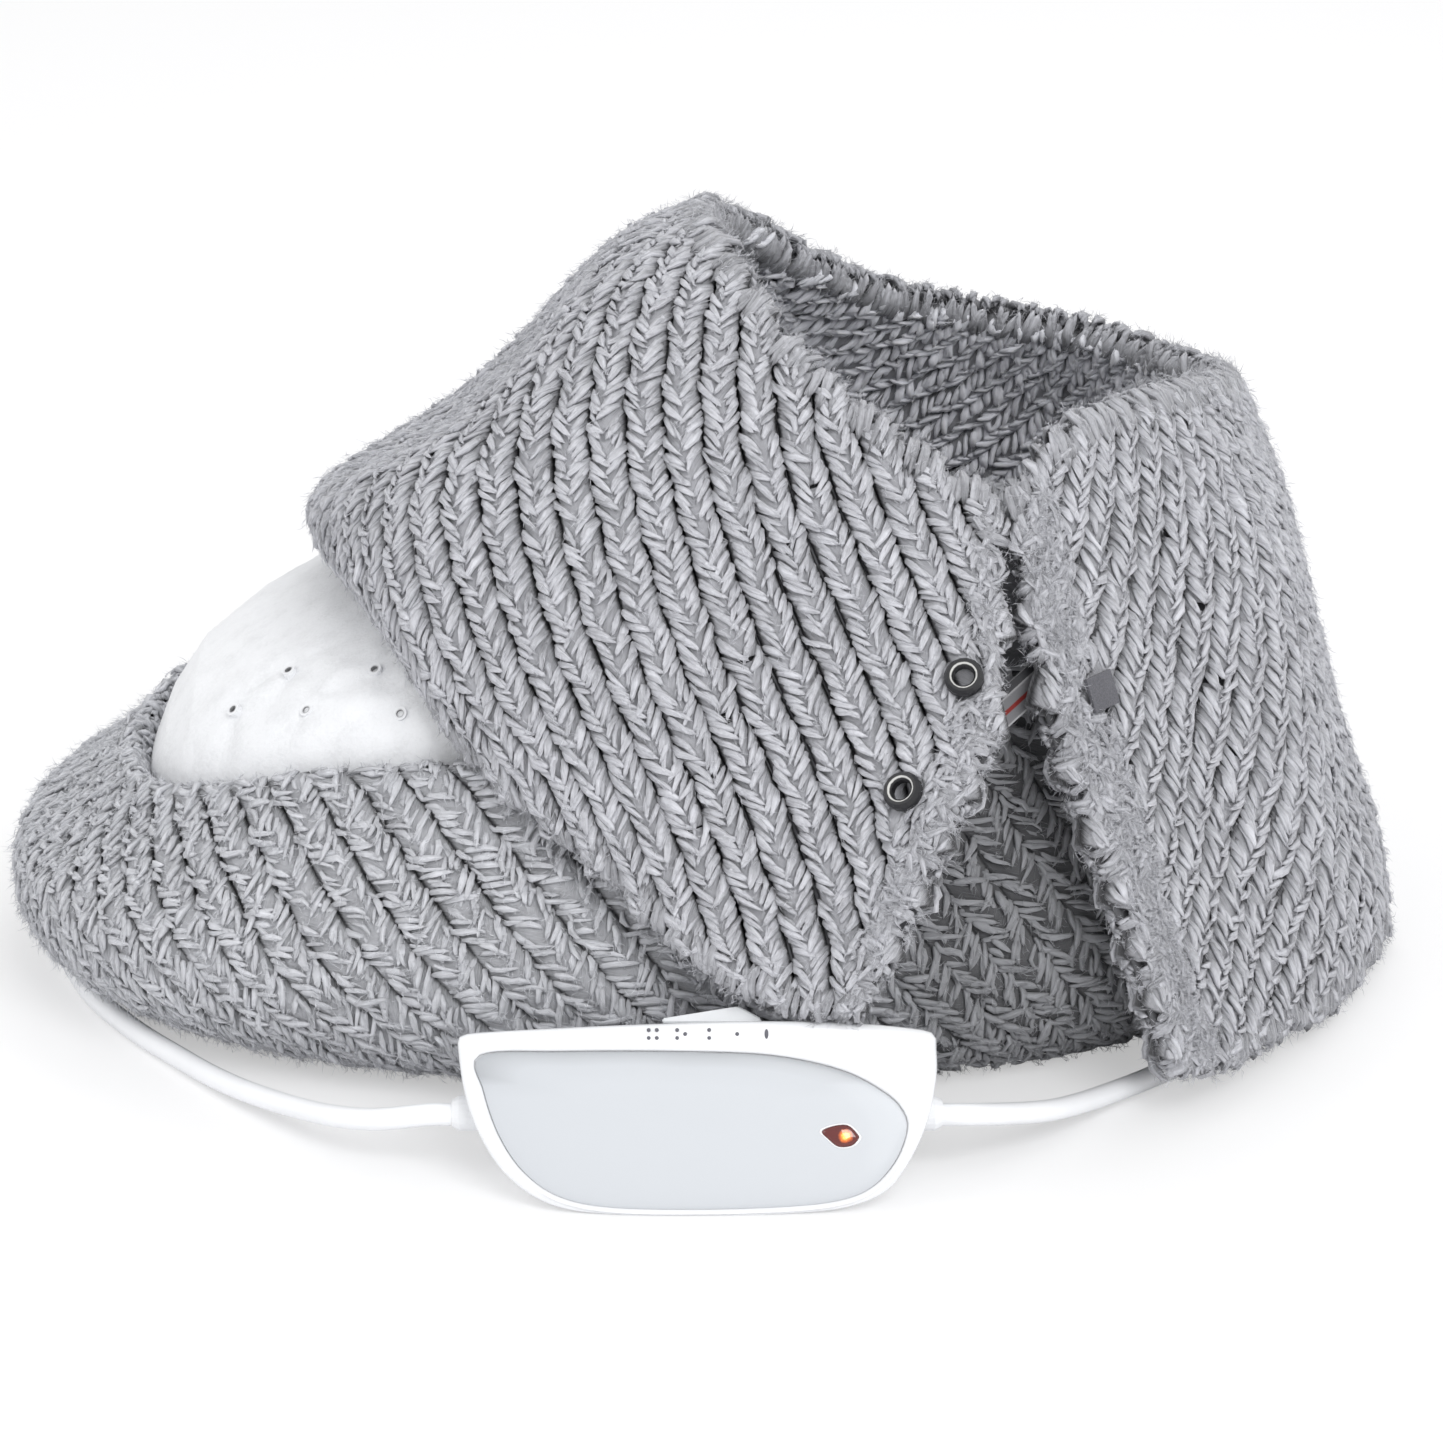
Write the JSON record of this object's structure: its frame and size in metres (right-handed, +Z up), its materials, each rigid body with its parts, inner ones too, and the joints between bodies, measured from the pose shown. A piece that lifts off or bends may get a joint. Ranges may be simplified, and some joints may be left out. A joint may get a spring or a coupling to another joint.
{
  "type": "electric foot warmer",
  "caption": "Knit boot for two feet with a heated sole, a white fleece toe pocket, a ribbed collar with a snap slit, and a slide-control hand unit on cords.",
  "frame": {"origin": "bottom centre of the boot and its hand control together, on the floor, measured without the cords, coil and plug", "axes": "+Z up, toe towards -X, heel towards +X, the slit and the hand control on the -Y side"},
  "size_m": [0.3624, 0.4434, 0.2021],
  "materials": {
    "base_knit": "chunky ribbed knit",
    "collar_knit": "chunky ribbed knit",
    "white_fleece": "short fleece",
    "sole_cloth": "woven",
    "foam": "open foam",
    "carrier_cloth": "needled felt",
    "wire_jacket": "silicone",
    "white_plastic": "satin",
    "gloss_white": "gloss",
    "panel_grey": "satin",
    "knob_grey": "translucent satin",
    "amber_lens": "clear gloss",
    "board_resin": "solder mask",
    "black_plastic": "moulded",
    "dark_metal": "gunmetal",
    "bright_metal": "nickel plated",
    "grey_tape": "satin tape",
    "cord_jacket": "smooth PVC"
  },
  "bodies": {
    "boot": {"base_wall": "base_knit", "collar": "collar_knit", "pocket_top": "white_fleece", "insole": "white_fleece", "vent_eyelet_1": "white_plastic", "vent_eyelet_2": "white_plastic", "vent_eyelet_3": "white_plastic", "vent_eyelet_4": "white_plastic", "vent_eyelet_5": "white_plastic", "outer_sole": "sole_cloth", "sole_foam": "foam", "heater_carrier": "carrier_cloth", "heating_wire": "wire_jacket", "thermal_cutout_front": "black_plastic", "thermal_cutout_rear": "black_plastic", "lead_gland": "white_plastic", "control_front_housing": "gloss_white", "control_rear_housing": "gloss_white", "control_face_panel": "panel_grey", "indicator_lens": "amber_lens", "indicator_led": "amber_lens", "circuit_board": "board_resin", "board_screw_left": "bright_metal", "board_screw_right": "bright_metal", "slide_switch": "black_plastic", "power_triac": "black_plastic", "line_fuse": "bright_metal", "terminal_block": "panel_grey", "control_relief_left": "white_plastic", "control_relief_right": "white_plastic", "warmer_lead": "cord_jacket", "mains_lead": "cord_jacket", "mains_coil": "cord_jacket", "plug_lead": "cord_jacket", "coil_tie": "black_plastic", "plug_relief": "white_plastic", "plug_body": "white_plastic", "plug_pin_1": "bright_metal", "plug_pin_2": "bright_metal"},
    "slider": {"slider_knob": "knob_grey", "slider_contact": "bright_metal"},
    "front_panel": {"front_flap": "collar_knit", "socket_upper": "dark_metal", "socket_lower": "dark_metal"},
    "rear_panel": {"rear_flap": "collar_knit", "post_upper": "dark_metal", "post_lower": "dark_metal", "side_patch": "grey_tape", "care_label": "grey_tape"}
  },
  "joints": [
    {"name": "slider_travel", "type": "slide", "parent": "boot", "child": "slider", "axis": [1, 0, 0], "range_m": [-0.0136, 0.0136]},
    {"name": "front_flap_fold", "type": "hinge", "parent": "boot", "child": "front_panel", "pos_m": [0.01833, -0.09618, 0.109], "axis": [-0.3038, -0.4557, -0.8366], "range_deg": [0, 50]},
    {"name": "rear_flap_fold", "type": "hinge", "parent": "boot", "child": "rear_panel", "pos_m": [0.12003, -0.06715, 0.087], "axis": [-0.3102, 0.0748, 0.9477], "range_deg": [0, 60]}
  ]
}
